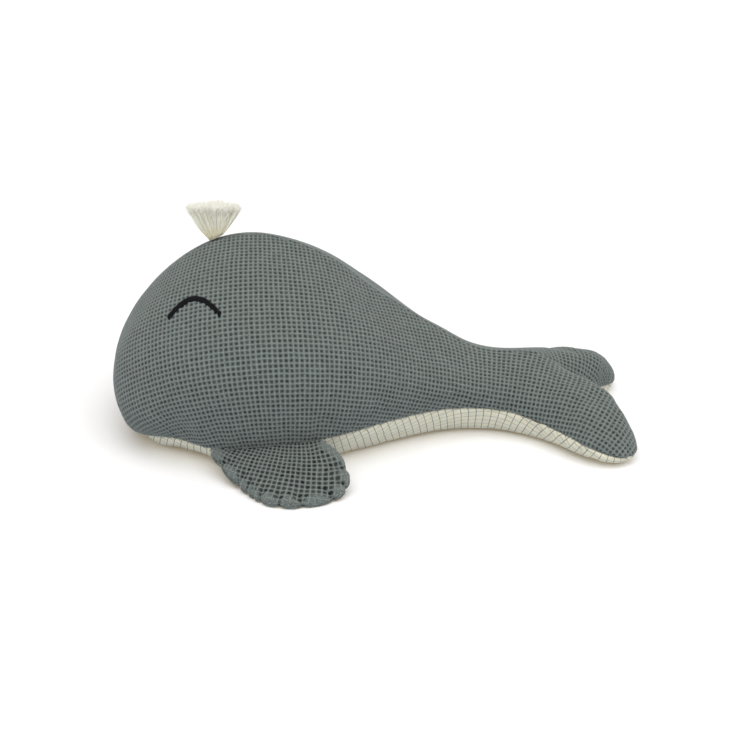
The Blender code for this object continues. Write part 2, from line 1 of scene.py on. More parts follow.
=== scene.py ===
"""Looks of the plush whale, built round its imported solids.

Each cloth starts from the outer side of its solid, is drawn out to the seams and tucked in there,
is laid flat to find how its threads run, and is then woven again along those threads.
Lengths are in metres, in the frame of the solids: nose towards -X, up +Z.
"""

import json
import math

import bmesh
import bpy
import numpy as np
from mathutils import Matrix, Vector, noise
from mathutils.bvhtree import BVHTree
from mathutils.kdtree import KDTree


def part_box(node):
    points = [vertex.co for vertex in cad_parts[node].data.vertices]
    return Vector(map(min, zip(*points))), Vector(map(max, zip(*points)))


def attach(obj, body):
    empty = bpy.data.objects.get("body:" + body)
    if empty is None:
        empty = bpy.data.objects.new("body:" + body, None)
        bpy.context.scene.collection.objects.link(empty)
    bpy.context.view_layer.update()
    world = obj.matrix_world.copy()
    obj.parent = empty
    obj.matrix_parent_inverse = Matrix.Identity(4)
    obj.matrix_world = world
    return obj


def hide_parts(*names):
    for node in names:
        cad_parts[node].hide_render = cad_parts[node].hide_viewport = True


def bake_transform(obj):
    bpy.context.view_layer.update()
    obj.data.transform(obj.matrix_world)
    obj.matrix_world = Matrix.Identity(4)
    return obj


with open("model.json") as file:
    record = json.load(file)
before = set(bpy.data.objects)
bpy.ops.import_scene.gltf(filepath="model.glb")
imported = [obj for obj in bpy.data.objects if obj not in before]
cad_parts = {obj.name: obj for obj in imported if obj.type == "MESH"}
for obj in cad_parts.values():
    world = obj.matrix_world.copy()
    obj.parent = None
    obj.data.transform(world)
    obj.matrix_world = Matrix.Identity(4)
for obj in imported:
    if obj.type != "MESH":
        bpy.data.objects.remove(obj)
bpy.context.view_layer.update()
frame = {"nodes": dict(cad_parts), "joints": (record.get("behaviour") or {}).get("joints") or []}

# Cloth and seams
CLOTH_THICKNESS = 0.0009
SEAM_VALLEY = 0.0006
HEM_DEPTH = 0.0035
EDGE_SAMPLES = 8
CORNER_ANGLE = math.radians(135)
WELD_DISTANCE = 0.000001

# Waffle weave: its pitch, and where its lines of points lie as shares of the pitch
WAFFLE_PITCH = 0.0037
WAFFLE_STEPS = (0.0, 0.22, 0.5, 0.78)
FIN_STEPS = (0.0, 0.11, 0.22, 0.36, 0.5, 0.64, 0.78, 0.89)
WAFFLE_RIDGE = 0.00040
WAFFLE_DEPTH = 0.0015
WAFFLE_UNEVEN_SHARE = 0.30
THREAD_PITCH = 0.00050
WEAVE_SHIFT = 0.00035
WEAVE_SHIFT_SCALE = 110.0

# Checked cotton
CHECK_PITCH = 0.0056
CHECK_STEPS = (0.0, 0.25, 0.5, 0.75)
CHECK_LINE_WIDTH = 0.00055
CRINKLE_HEIGHT = 0.00035

# Fins: creases by their turn about the fin's middle, in degrees from the nose's direction,
# and bulges of the rim by turn, reach and rise
FIN_ROOT_REACH = 0.0045
FIN_CREASES = (-35.0, -12.0, 10.0, 31.0, 49.0, 64.0, 94.0, 121.0, 151.0, 164.0, 176.0, 215.0)
FIN_LOBE_HEIGHT = 0.0022
FIN_LOBE_REACH = 0.017
FIN_CREASE_DEPTH = 0.0015
FIN_SCALLOP = 0.0006
FIN_BAND = 0.0080
FIN_BULGES = ((172.0, 15.0, 0.0032), (-18.0, 18.0, 0.0028))

# Eyes: the place of the arch's crown along and up, and the share of the arch in front of it
EYE_CROWN = (-0.13113, 0.12926)
EYE_WIDTH = 0.0415
EYE_RISE = 0.0156
EYE_FRONT_SHARE = 0.61
EYE_LINE_WIDTH = 0.0029
EYE_REAR_SWELL = 0.55
EYE_STITCHES = 124
EYE_THREAD_RADIUS = 0.00028
EYE_THREAD_RISE = 0.0008

# Tassel
TASSEL_LOCKS = 88
LOCK_STRANDS = 26
TASSEL_ROOT_LENGTH = 0.0100
TASSEL_ROOT_RADIUS = 0.0017
TASSEL_ROOT_SINK = 0.0030
TASSEL_HEIGHT = 0.0296
TASSEL_SPREAD = 0.0420
TASSEL_DEPTH = 0.0100
TASSEL_CORE_SHARE = 0.78
TASSEL_CORE_REACH = 0.80
TASSEL_CORE_SIDES = 120
TASSEL_FLUTE = 0.13
TASSEL_FLARE = 0.95
TASSEL_SHIFT = 0.0008
TASSEL_ROOT_SLOPE = 0.5
TASSEL_LEAN = -0.0014
TASSEL_PITCH = 0.0
STRAND_RADIUS = 0.00022
STRAND_STEPS = 9

# Stuffing and stitches
STUFFING_VOXEL = 0.005
WADDING_VOXEL = 0.0025
NOTCH_REACH = 0.030
NOTCH_ROOM = 0.008
STITCH_LENGTH = 0.0024
STITCH_GAP = 0.0005
STITCH_RADIUS = 0.00018
SEAM_DEPTH = 0.0012
RIDGE_HALF_WIDTH = 0.0025

# The stuffed skin's inflation: frames, pressure, extra cloth and the furthest that it moves
INFLATE_FRAMES = 20
INFLATE_PRESSURE = 4.0
INFLATE_EXTRA_CLOTH = 0.05
INFLATE_LIMIT = 0.0022
SEAM_PIN_REACH = 0.006
REST_PIN_HEIGHT = 0.0045
RIDGE_CALM = (0.006, 0.040)
WAIST_START = (-0.010, 0.050)
WAIST_END = (0.115, 0.165)
SHIFT_NEIGHBOURS = 6

# Unevenness of the stuffing under the cloth, and gathers beside the seams, most at the fork
LUMP_HEIGHT = 0.0009
LUMP_SCALE = 26.0
LUMP_CALM = (0.010, 0.045)
GATHER_HEIGHT = 0.0009
GATHER_SCALE = 130.0
GATHER_RISE = 0.003
GATHER_REACH = 0.018
FORK_START = (0.09, 0.13)
FORK_END = (0.165, 0.190)
FORK_GATHER = 1.8

# Where the back has settled: its place along the whale, its reach and how far it lies lower
BACK_FALLS = ((0.0, 0.020, 0.0034), (0.058, 0.016, -0.0022))
BACK_FALL_ACROSS = (0.012, 0.060)
BACK_FALL_HEIGHT = (0.015, 0.045)

# The far fluke lies drawn in: how far its tip moves, over which lengths along and across,
# and how far its underside is rolled out towards the near one
FLUKE_DRAW = (-0.004, -0.010, 0.001)
FLUKE_DRAW_ALONG = (0.12, 0.20)
FLUKE_DRAW_ACROSS = (0.01, 0.08)
FLUKE_ROLL = 0.011
FLUKE_ROLL_HEIGHT = 0.012
FLUKE_ROLL_ACROSS = (0.01, 0.04)

# Camera and light
CAMERA_TARGET = (0.0024, 0.0, 0.0393)
CAMERA_DISTANCE = 1.60
CAMERA_ELEVATION = 25.0
CAMERA_LENS = 94.8
SKY_STRENGTH = 0.45
LAMP_POWER = 2.20
LAMP_SPREAD = 65.0
LAMP_PLACE = (0.06, -0.43, 1.0)
FLOOR_SIZE = 30.0

# Colours, linear
RIDGE_COLOR = (0.186, 0.216, 0.199)
# Painted highlight along the crests of the waffle's ridges
CREST_HIGHLIGHT_COLOR = (0.280, 0.326, 0.302)
# Painted shade in the waffle's pits, and the reach of its mask; the same dark colour also makes random flecks
PIT_SHADE_AND_FLECK_COLOR = (0.040, 0.046, 0.044)
PIT_SHADE_REACH = (0.06, 0.52)
# Darker painted shade in the fins' pits, and the reach of its mask
FIN_PIT_SHADE_AND_FLECK_COLOR = (0.007, 0.009, 0.009)
FIN_PIT_SHADE_REACH = (0.00, 0.38)
CREAM_COLOR = (0.87, 0.83, 0.655)
CHECK_COLOR = (0.105, 0.130, 0.150)
CHECK_FAINT_SHARE = 0.70
EYE_COLOR = (0.005, 0.005, 0.006)
TASSEL_ROOT_COLOR = (0.92, 0.86, 0.60)
TASSEL_MIDDLE_COLOR = (0.98, 0.965, 0.84)
TASSEL_TIP_COLOR = (0.92, 0.91, 0.84)
FLOOR_COLOR = (0.86, 0.89, 0.95, 1.0)
FLOOR_GLOW_COLOR = (0.17, 0.13, 0.07, 1.0)
FIBRE_COLOR = (0.90, 0.90, 0.88)
THREAD_COLOR = (0.10, 0.125, 0.12)


def between(low, high, share):
    return low + (high - low) * share


def smooth_step(low, high, value):
    share = np.clip((value - low) / (high - low), 0, 1)
    return share * share * (3 - 2 * share)


# Sheets of cloth from the solids

def outer_sheet(node, inner_node):
    """The side of a cloth panel's solid that faces away from the filling, as quads."""
    sheet = bmesh.new()
    sheet.from_mesh(frame["nodes"][node].data)
    bmesh.ops.remove_doubles(sheet, verts=sheet.verts[:], dist=WELD_DISTANCE)
    rim = [
        face for face in sheet.faces
        if min(edge.calc_length() for edge in face.edges) < 1.3 * CLOTH_THICKNESS
    ]
    bmesh.ops.delete(sheet, geom=rim, context="FACES")
    low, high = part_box(inner_node)
    middle = (low + high) / 2
    inward = []
    for island in islands(sheet):
        flux = sum(f.calc_area() * f.normal.dot(f.calc_center_median() - middle) for f in island)
        if flux < 0:
            inward.extend(island)
    bmesh.ops.delete(sheet, geom=inward, context="FACES")
    bmesh.ops.join_triangles(
        sheet, faces=sheet.faces[:], angle_face_threshold=math.pi, angle_shape_threshold=math.pi
    )
    sheet.normal_update()
    return sheet


def islands(sheet):
    """The connected groups of faces."""
    left = set(sheet.faces)
    groups = []
    while left:
        group = [left.pop()]
        for face in group:
            for edge in face.edges:
                for other in edge.link_faces:
                    if other in left:
                        left.remove(other)
                        group.append(other)
        groups.append(group)
    return groups


def edge_samples(sheets):
    """Points along the open edges of some sheets, with the outward direction at each."""
    samples = []
    for sheet in sheets:
        for edge in sheet.edges:
            if edge.is_boundary:
                first, second = edge.verts
                for k in range(EDGE_SAMPLES):
                    share = k / EDGE_SAMPLES
                    place = first.co.lerp(second.co, share)
                    samples.append((place, first.normal.lerp(second.normal, share)))
    return samples


def sample_tree(samples):
    tree = KDTree(len(samples))
    for index, (place, _) in enumerate(samples):
        tree.insert(place, index)
    tree.balance()
    return tree


def extrude_edge(sheet):
    """Extrude the open edge in place, and return each new point with the old one."""
    edges = [edge for edge in sheet.edges if edge.is_boundary]
    origins = {tuple(vertex.co): vertex for edge in edges for vertex in edge.verts}
    grown = bmesh.ops.extrude_edge_only(sheet, edges=edges)
    fresh = [item for item in grown["geom"] if isinstance(item, bmesh.types.BMVert)]
    return [(vertex, origins[tuple(vertex.co)]) for vertex in fresh]


def hold_corners(sheet):
    """Keep the sharp corners of a sheet's open edge through the smoothing."""
    crease = sheet.verts.layers.float.new("crease_vert")
    for vertex in sheet.verts:
        ways = [e.other_vert(vertex).co - vertex.co for e in vertex.link_edges if e.is_boundary]
        if len(ways) == 2 and ways[0].angle(ways[1]) < CORNER_ANGLE:
            vertex[crease] = 1


def sew(sheet, neighbours):
    """Draw a sheet's edge half way to its neighbours, and tuck it in there as a hem."""
    hold_corners(sheet)
    samples = edge_samples(neighbours)
    tree = sample_tree(samples)
    inward = {}
    for vertex, origin in extrude_edge(sheet):
        place, index, _ = tree.find(origin.co)
        out = (origin.normal + samples[index][1]).normalized()
        vertex.co = (origin.co + place) / 2 - out * SEAM_VALLEY
        inward[tuple(vertex.co)] = -out
    for vertex, origin in extrude_edge(sheet):
        vertex.co = origin.co + inward[tuple(origin.co)] * HEM_DEPTH


def sew_fin(sheet, twin, panels):
    """Draw a fin cloth's root to the body's seam and its rim to the other cloth, and return the rim."""
    hold_corners(sheet)
    seam = edge_samples(panels)
    seam_tree = sample_tree(seam)
    twin_tree = sample_tree(edge_samples([twin]))
    middle = sum((vertex.co for vertex in sheet.verts), Vector()) / len(sheet.verts)
    inward = {}
    rim = []
    for vertex, origin in extrude_edge(sheet):
        place, index, distance = seam_tree.find(origin.co)
        if distance < FIN_ROOT_REACH:
            vertex.co = place - seam[index][1] * SEAM_VALLEY
            way = -seam[index][1]
        else:
            place = twin_tree.find(origin.co)[0]
            vertex.co = (origin.co + place) / 2
            way = (middle - vertex.co).normalized()
            rim.append(vertex)
        inward[tuple(vertex.co)] = way
    rim_line = [
        edge.verts[0].co.lerp(edge.verts[1].co, k / EDGE_SAMPLES)
        for edge in sheet.edges
        if edge.is_boundary and edge.verts[0] in rim and edge.verts[1] in rim
        for k in range(EDGE_SAMPLES)
    ]
    for vertex, origin in extrude_edge(sheet):
        vertex.co = origin.co + inward[tuple(origin.co)] * HEM_DEPTH
    return rim_line, middle


def to_mesh(sheet, name):
    mesh = bpy.data.meshes.new(name)
    sheet.to_mesh(mesh)
    sheet.free()
    return mesh


def link_object(name, mesh):
    piece = bpy.data.objects.new(name, mesh)
    bpy.context.scene.collection.objects.link(piece)
    return piece


def evaluated(piece, name):
    """The piece's mesh with its modifiers applied, and the piece is removed."""
    bpy.context.view_layer.update()
    graph = bpy.context.evaluated_depsgraph_get()
    mesh = bpy.data.meshes.new_from_object(piece.evaluated_get(graph))
    mesh.name = name
    bpy.data.objects.remove(piece, do_unlink=True)
    return mesh


def subdivided(mesh, levels):
    piece = link_object("smoothing", mesh)
    soft = piece.modifiers.new("Subdivision", "SUBSURF")
    soft.levels = levels
    soft.render_levels = levels
    return evaluated(piece, mesh.name)


# Laying cloth flat and weaving it

def triangle_data(mesh, layer="weave"):
    """Corner points, corner normals and corner flat places of a mesh's triangles."""
    mesh.calc_loop_triangles()
    count = len(mesh.loop_triangles)
    corners = np.zeros(count * 3, int)
    loops = np.zeros(count * 3, int)
    mesh.loop_triangles.foreach_get("vertices", corners)
    mesh.loop_triangles.foreach_get("loops", loops)
    points = np.zeros(len(mesh.vertices) * 3)
    normals = np.zeros(len(mesh.vertices) * 3)
    mesh.vertices.foreach_get("co", points)
    mesh.vertices.foreach_get("normal", normals)
    flat = np.zeros(len(mesh.loops) * 2)
    mesh.uv_layers[layer].data.foreach_get("uv", flat)
    points = points.reshape(-1, 3)[corners].reshape(-1, 3, 3)
    normals = normals.reshape(-1, 3)[corners].reshape(-1, 3, 3)
    flat = flat.reshape(-1, 2)[loops].reshape(-1, 3, 2)
    return points, normals, flat


def lay_flat(mesh, place, along):
    """Unwrap a sheet at its real size, with its threads along a direction at one place."""
    piece = link_object("cloth", mesh)
    mesh.uv_layers.new(name="weave")
    for other in bpy.context.selected_objects:
        other.select_set(False)
    bpy.context.view_layer.objects.active = piece
    piece.select_set(True)
    bpy.ops.object.mode_set(mode="EDIT")
    bpy.ops.mesh.select_all(action="SELECT")
    bpy.ops.uv.unwrap(method="MINIMUM_STRETCH", margin=0, iterations=30)
    bpy.ops.object.mode_set(mode="OBJECT")
    points, _, flat = triangle_data(mesh)
    real = np.linalg.norm(np.cross(points[:, 1] - points[:, 0], points[:, 2] - points[:, 0]), axis=1)
    sides = flat[:, 1:] - flat[:, :1]
    drawn = np.abs(sides[:, 0, 0] * sides[:, 1, 1] - sides[:, 0, 1] * sides[:, 1, 0])
    scale = math.sqrt(real.sum() / drawn.sum())
    middles = points.mean(axis=1)
    nearest = np.linalg.norm(middles - np.array(place), axis=1).argmin()
    edges = (points[nearest, 1:] - points[nearest, 0]).T
    shares = np.linalg.lstsq(edges, np.array(along, float), rcond=None)[0]
    way = shares @ sides[nearest]
    turn = math.atan2(way[1], way[0])
    cosine, sine = math.cos(turn) * scale, math.sin(turn) * scale
    centre = flat[nearest].mean(axis=0)
    layer = mesh.uv_layers["weave"].data
    coords = np.zeros(len(mesh.loops) * 2)
    layer.foreach_get("uv", coords)
    coords = coords.reshape(-1, 2) - centre
    turned = np.column_stack([
        coords[:, 0] * cosine + coords[:, 1] * sine,
        coords[:, 1] * cosine - coords[:, 0] * sine,
    ])
    layer.foreach_set("uv", turned.ravel())
    bpy.data.objects.remove(piece, do_unlink=True)
    return mesh


def thread_lines(low, high, pitch, steps):
    first = math.floor(low / pitch)
    last = math.ceil(high / pitch)
    return np.array([(k + step) * pitch for k in range(first, last) for step in steps])


class Flat:
    """A laid-out sheet: finds the point of the curved cloth over each flat place."""

    def __init__(self, mesh):
        self.points, self.normals, self.flat = triangle_data(mesh)
        corners = self.flat.reshape(-1, 2)
        flat_points = [(u, v, 0) for u, v in corners]
        faces = [(k, k + 1, k + 2) for k in range(0, len(corners), 3)]
        self.tree = BVHTree.FromPolygons(flat_points, faces)
        self.low = corners.min(axis=0)
        self.high = corners.max(axis=0)

    def lift(self, places):
        """Points and normals over flat places, and which of the places lie on the cloth."""
        found = np.full(len(places), -1)
        for index, (u, v) in enumerate(places):
            hit = self.tree.find_nearest((u, v, 0), WAFFLE_PITCH)
            if hit[0] is not None and hit[3] < WELD_DISTANCE:
                found[index] = hit[2]
        on = found >= 0
        triangle = self.flat[found[on]]
        side_a = triangle[:, 1] - triangle[:, 0]
        side_b = triangle[:, 2] - triangle[:, 0]
        offset = places[on] - triangle[:, 0]
        area = side_a[:, 0] * side_b[:, 1] - side_a[:, 1] * side_b[:, 0]
        share_a = (offset[:, 0] * side_b[:, 1] - offset[:, 1] * side_b[:, 0]) / area
        share_b = (side_a[:, 0] * offset[:, 1] - side_a[:, 1] * offset[:, 0]) / area
        weights = np.column_stack([1 - share_a - share_b, share_a, share_b])[:, :, None]
        points = (self.points[found[on]] * weights).sum(axis=1)
        normals = (self.normals[found[on]] * weights).sum(axis=1)
        normals /= np.linalg.norm(normals, axis=1)[:, None]
        return on, points, normals


def woven(name, flat, pitch, steps, relief):
    """A mesh along the threads of a laid-out sheet, shaped by relief(places, points, normals)."""
    across = thread_lines(flat.low[0], flat.high[0], pitch, steps)
    along = thread_lines(flat.low[1], flat.high[1], pitch, steps)
    grid = np.stack(np.meshgrid(across, along, indexing="ij"), axis=-1)
    places = grid.reshape(-1, 2)
    on, points, normals = flat.lift(places + wander(places))
    points, press = relief(places[on], points, normals)
    points[:, 2] = np.maximum(points[:, 2], 0)
    index = np.full(len(places), -1)
    index[on] = np.arange(on.sum())
    index = index.reshape(len(across), len(along))
    quads = np.stack([index[:-1, :-1], index[1:, :-1], index[1:, 1:], index[:-1, 1:]], axis=-1)
    quads = quads.reshape(-1, 4)
    quads = quads[(quads >= 0).all(axis=1)]
    sides = points[quads[:, 2]] - points[quads[:, 0]], points[quads[:, 3]] - points[quads[:, 1]]
    facing = (np.cross(*sides) * normals[quads[:, 0]]).sum()
    if facing < 0:
        quads = quads[:, ::-1]
    used = np.unique(quads)
    renumber = np.full(len(points), -1)
    renumber[used] = np.arange(len(used))
    quads = renumber[quads]
    mesh = bpy.data.meshes.new(name)
    mesh.from_pydata(points[used].tolist(), [], quads.tolist())
    layer = mesh.uv_layers.new(name="weave")
    layer.data.foreach_set("uv", places[on][used][quads.ravel()].ravel())
    pressed = mesh.attributes.new("press", "FLOAT", "POINT")
    pressed.data.foreach_set("value", press[used].astype(np.float32))
    mesh.shade_smooth()
    return mesh


def wander(places):
    """Small sideways shifts, because no thread runs quite straight."""
    scaled = places * WEAVE_SHIFT_SCALE
    shifts = [(noise.noise(Vector((u, v, 0))), noise.noise(Vector((u, v, 9)))) for u, v in scaled]
    return np.array(shifts) * WEAVE_SHIFT


def fold_share(places, pitch):
    """How far each flat place lies from the nearest ridge line: 0 on it, 1 midway."""
    phase = places / pitch
    return 1 - np.abs(2 * (phase - np.floor(phase)) - 1)


def waffle_height(places, press):
    """Ridges stand proud and pits lie deep, unevenly, and less so where the cloth is pressed."""
    share = fold_share(places, WAFFLE_PITCH)
    pit = (share[:, 0] * share[:, 1]) ** 0.8
    cells = np.floor(places / WAFFLE_PITCH)
    uneven = np.array([noise.cell(Vector((u + 0.5, v + 0.5, 0.5))) for u, v in cells])
    depth = WAFFLE_DEPTH * (1 + WAFFLE_UNEVEN_SHARE * uneven)
    return (WAFFLE_RIDGE - depth * pit) * (1 - press)


def stuffing_height(points, sheet):
    """The cloth's rise over lumps in the stuffing, and over the gathers that run off its side seams."""
    tree = sample_tree([s for s in edge_samples([sheet]) if abs(s[0].y) > RIDGE_HALF_WIDTH])
    heights = []
    for point in points:
        place, _, distance = tree.find(point)
        lump = noise.noise(Vector(point) * LUMP_SCALE) * LUMP_HEIGHT
        fold = noise.noise(place * GATHER_SCALE) * GATHER_HEIGHT
        reach = min(distance / GATHER_RISE, 1) * max(1 - distance / GATHER_REACH, 0)
        heights.append((lump * min(distance / GATHER_REACH, 1), fold * reach))
    lumps, folds = np.array(heights).T
    fork = smooth_step(*FORK_START, points[:, 0]) * (1 - smooth_step(*FORK_END, points[:, 0]))
    calm = smooth_step(*LUMP_CALM, np.abs(points[:, 1]))
    return lumps * calm + folds * (1 + FORK_GATHER * fork)


def back_relief(sheet):
    def relief(places, points, normals):
        press = np.zeros(len(places))
        height = waffle_height(places, press) + stuffing_height(points, sheet)
        return points + normals * height[:, None], press

    return relief


def check_relief(sheet):
    """Soft crinkles across the cloth."""
    def relief(places, points, normals):
        crinkles = np.array([
            noise.noise(Vector((u * 60, v * 240, 0))) + 0.6 * noise.noise(Vector((u * 330, v * 90, 7)))
            for u, v in places
        ])
        height = crinkles * CRINKLE_HEIGHT + stuffing_height(points, sheet)
        return points + normals * height[:, None], np.zeros(len(places))

    return relief


def fin_relief(rim, middle):
    """Puffed lobes round a fin's rim with a crease between each two, and a smooth band there."""
    tree = KDTree(len(rim))
    for index, place in enumerate(rim):
        tree.insert(place, index)
    tree.balance()
    creases = np.array(FIN_CREASES)

    def relief(places, points, normals):
        inner = np.array([tree.find(point)[2] for point in points])
        away = points - np.array(middle)
        turn = np.degrees(np.arctan2(-away[:, 1], -away[:, 0])) % 360
        turn = np.where(turn > 270, turn - 360, turn)
        after = np.clip(np.searchsorted(creases, turn), 1, len(creases) - 1)
        share = (turn - creases[after - 1]) / (creases[after] - creases[after - 1])
        lobe = np.sin(math.pi * np.clip(share, 0, 1))
        puff = smooth_step(0, 0.0035, inner) * (1 - smooth_step(0.005, FIN_LOBE_REACH, inner))
        crease = (1 - lobe) ** 4 * (1 - smooth_step(0.005, FIN_LOBE_REACH, inner))
        band = FIN_BAND * (0.2 + 0.8 * lobe)
        press = 1 - smooth_step(band * 0.8, band * 1.25, inner)
        height = waffle_height(places, press) + FIN_LOBE_HEIGHT * lobe * puff - FIN_CREASE_DEPTH * crease
        away[:, 2] = 0
        away /= np.linalg.norm(away, axis=1)[:, None]
        pull = FIN_SCALLOP * (1 - lobe) * (1 - smooth_step(0, 0.010, inner))
        for place, reach, rise in FIN_BULGES:
            pull -= rise * np.exp(-((turn - place) / reach) ** 2) * (1 - smooth_step(0, 0.030, inner))
        return points + normals * height[:, None] - away * pull[:, None], press

    return relief


# Materials

def principled(name, roughness):
    material = bpy.data.materials.new(name)
    material.use_nodes = True
    shader = material.node_tree.nodes["Principled BSDF"]
    shader.inputs["Roughness"].default_value = roughness
    return material, material.node_tree, shader


def add_node(tree, kind, **settings):
    node = tree.nodes.new(kind)
    for key, value in settings.items():
        setattr(node, key, value)
    return node


def math_node(tree, operation, first, second=None):
    node = add_node(tree, "ShaderNodeMath", operation=operation)
    for socket, value in zip(node.inputs, (first, second)):
        if isinstance(value, bpy.types.NodeSocket):
            tree.links.new(value, socket)
        elif value is not None:
            socket.default_value = value
    return node.outputs[0]


def mix_color(tree, factor, first, second):
    node = add_node(tree, "ShaderNodeMix", data_type="RGBA")
    sockets = [node.inputs[0], node.inputs[6], node.inputs[7]]
    for socket, value in zip(sockets, (factor, first, second)):
        if isinstance(value, bpy.types.NodeSocket):
            tree.links.new(value, socket)
        elif isinstance(value, tuple):
            socket.default_value = (*value, 1)
        else:
            socket.default_value = value
    return node.outputs[2]


def ramp(tree, value, low, high):
    node = add_node(tree, "ShaderNodeMapRange", interpolation_type="SMOOTHSTEP")
    tree.links.new(value, node.inputs["Value"])
    node.inputs["From Min"].default_value = low
    node.inputs["From Max"].default_value = high
    return node.outputs["Result"]


def weave_places(tree):
    uv = add_node(tree, "ShaderNodeUVMap", uv_map="weave")
    parts = add_node(tree, "ShaderNodeSeparateXYZ")
    tree.links.new(uv.outputs["UV"], parts.inputs[0])
    return uv.outputs["UV"], parts.outputs["X"], parts.outputs["Y"]


def noise_value(tree, vector, scale, detail=2.0):
    node = add_node(tree, "ShaderNodeTexNoise")
    node.inputs["Scale"].default_value = scale
    node.inputs["Detail"].default_value = detail
    tree.links.new(vector, node.inputs["Vector"])
    return node.outputs["Fac"]


def thread_wave(tree, coordinate, pitch):
    turns = math_node(tree, "MULTIPLY", coordinate, 2 * math.pi / pitch)
    return math_node(tree, "SINE", turns)


def add_bump(tree, shader, height, distance, strength=1.0):
    bump = add_node(tree, "ShaderNodeBump")
    bump.inputs["Distance"].default_value = distance
    bump.inputs["Strength"].default_value = strength
    tree.links.new(height, bump.inputs["Height"])
    tree.links.new(bump.outputs["Normal"], shader.inputs["Normal"])


def cell_value(tree, flat, pitch):
    """A steady random value for each cell of a weave."""
    scaled = add_node(tree, "ShaderNodeVectorMath", operation="SCALE")
    scaled.inputs["Scale"].default_value = 1 / pitch
    tree.links.new(flat, scaled.inputs[0])
    whole = add_node(tree, "ShaderNodeVectorMath", operation="FLOOR")
    tree.links.new(scaled.outputs[0], whole.inputs[0])
    value = add_node(tree, "ShaderNodeTexWhiteNoise", noise_dimensions="2D")
    tree.links.new(whole.outputs[0], value.inputs["Vector"])
    return value.outputs["Value"]


def waffle_material(name, pit_shade_and_fleck_color, pit_shade_reach):
    """Waffle cotton: ridges round pits whose dark colour is painted shade, with a painted highlight along the
    ridges' crests, no two of them quite alike.
    """
    material, tree, shader = principled(name, 0.92)
    flat, across, along = weave_places(tree)
    share_u = math_node(tree, "PINGPONG", math_node(tree, "DIVIDE", across, WAFFLE_PITCH), 0.5)
    share_v = math_node(tree, "PINGPONG", math_node(tree, "DIVIDE", along, WAFFLE_PITCH), 0.5)
    depth = math_node(tree, "MINIMUM", share_u, share_v)
    bowl = math_node(tree, "MULTIPLY", math_node(tree, "MULTIPLY", share_u, share_v), 4.0)
    tint = noise_value(tree, flat, 70.0, 3.0)
    slub = noise_value(tree, flat, 1000.0, 3.0)
    fray = math_node(tree, "MULTIPLY", math_node(tree, "SUBTRACT", slub, 0.5), 0.85)
    # Painted shade filling each pit, less where the cloth is pressed, and uneven from cell to cell
    pit = ramp(tree, math_node(tree, "ADD", bowl, fray), *pit_shade_reach)
    press = add_node(tree, "ShaderNodeAttribute", attribute_name="press").outputs["Fac"]
    pit = math_node(tree, "MULTIPLY", pit, math_node(tree, "SUBTRACT", 1.0, press))
    uneven = math_node(tree, "MULTIPLY", cell_value(tree, flat, WAFFLE_PITCH), 0.30)
    pit = math_node(tree, "MULTIPLY", pit, math_node(tree, "SUBTRACT", 1.0, uneven))
    ridge = mix_color(tree, ramp(tree, tint, 0.3, 0.7), RIDGE_COLOR, tuple(c * 0.88 for c in RIDGE_COLOR))
    # Painted highlight along each ridge's crest, broken up by the slub noise
    crest_highlight = math_node(tree, "MULTIPLY", ramp(tree, depth, 0.16, 0.0), ramp(tree, slub, 0.35, 0.62))
    ridge = mix_color(tree, crest_highlight, ridge, CREST_HIGHLIGHT_COLOR)
    fleck = math_node(tree, "MULTIPLY", ramp(tree, slub, 0.50, 0.30), 0.30)
    rubbed = math_node(tree, "MULTIPLY", math_node(tree, "MULTIPLY", press, ramp(tree, slub, 0.60, 0.40)), 0.28)
    grain = math_node(tree, "ADD", fleck, rubbed)
    ridge = mix_color(tree, grain, ridge, pit_shade_and_fleck_color)
    tree.links.new(mix_color(tree, pit, ridge, pit_shade_and_fleck_color), shader.inputs["Base Color"])
    threads = math_node(
        tree, "MULTIPLY",
        thread_wave(tree, across, THREAD_PITCH), thread_wave(tree, along, THREAD_PITCH),
    )
    fuzz = math_node(tree, "ADD", threads, math_node(tree, "MULTIPLY", slub, 2.0))
    add_bump(tree, shader, fuzz, 0.00008)
    shader.inputs["Sheen Weight"].default_value = 0.25
    shader.inputs["Sheen Roughness"].default_value = 0.5
    shader.inputs["Specular IOR Level"].default_value = 0.2
    return material


def check_material():
    material, tree, shader = principled("checked_cotton", 0.88)
    flat, across, along = weave_places(tree)
    wobble = noise_value(tree, flat, 260.0, 1.0)
    shift = math_node(tree, "MULTIPLY", math_node(tree, "SUBTRACT", wobble, 0.5), 0.0006)
    lines = []
    for coordinate, strength in ((across, 1.0), (along, CHECK_FAINT_SHARE)):
        place = math_node(tree, "ADD", coordinate, shift)
        share = math_node(tree, "PINGPONG", math_node(tree, "DIVIDE", place, CHECK_PITCH), 0.5)
        half = CHECK_LINE_WIDTH / CHECK_PITCH / 2
        line = ramp(tree, share, half * 1.5, half * 0.5)
        lines.append(math_node(tree, "MULTIPLY", line, strength))
    line = math_node(tree, "MAXIMUM", lines[0], lines[1])
    worn = ramp(tree, noise_value(tree, flat, 900.0, 2.0), 0.30, 0.60)
    line = math_node(tree, "MULTIPLY", line, math_node(tree, "ADD", 0.50, math_node(tree, "MULTIPLY", worn, 0.50)))
    tint = ramp(tree, noise_value(tree, flat, 120.0, 3.0), 0.3, 0.75)
    cream = mix_color(tree, tint, CREAM_COLOR, tuple(c * 0.90 for c in CREAM_COLOR))
    tree.links.new(mix_color(tree, line, cream, CHECK_COLOR), shader.inputs["Base Color"])
    threads = math_node(
        tree, "ADD",
        thread_wave(tree, across, THREAD_PITCH), thread_wave(tree, along, THREAD_PITCH * 1.4),
    )
    add_bump(tree, shader, threads, 0.00005)
    shader.inputs["Sheen Weight"].default_value = 0.15
    shader.inputs["Specular IOR Level"].default_value = 0.2
    return material


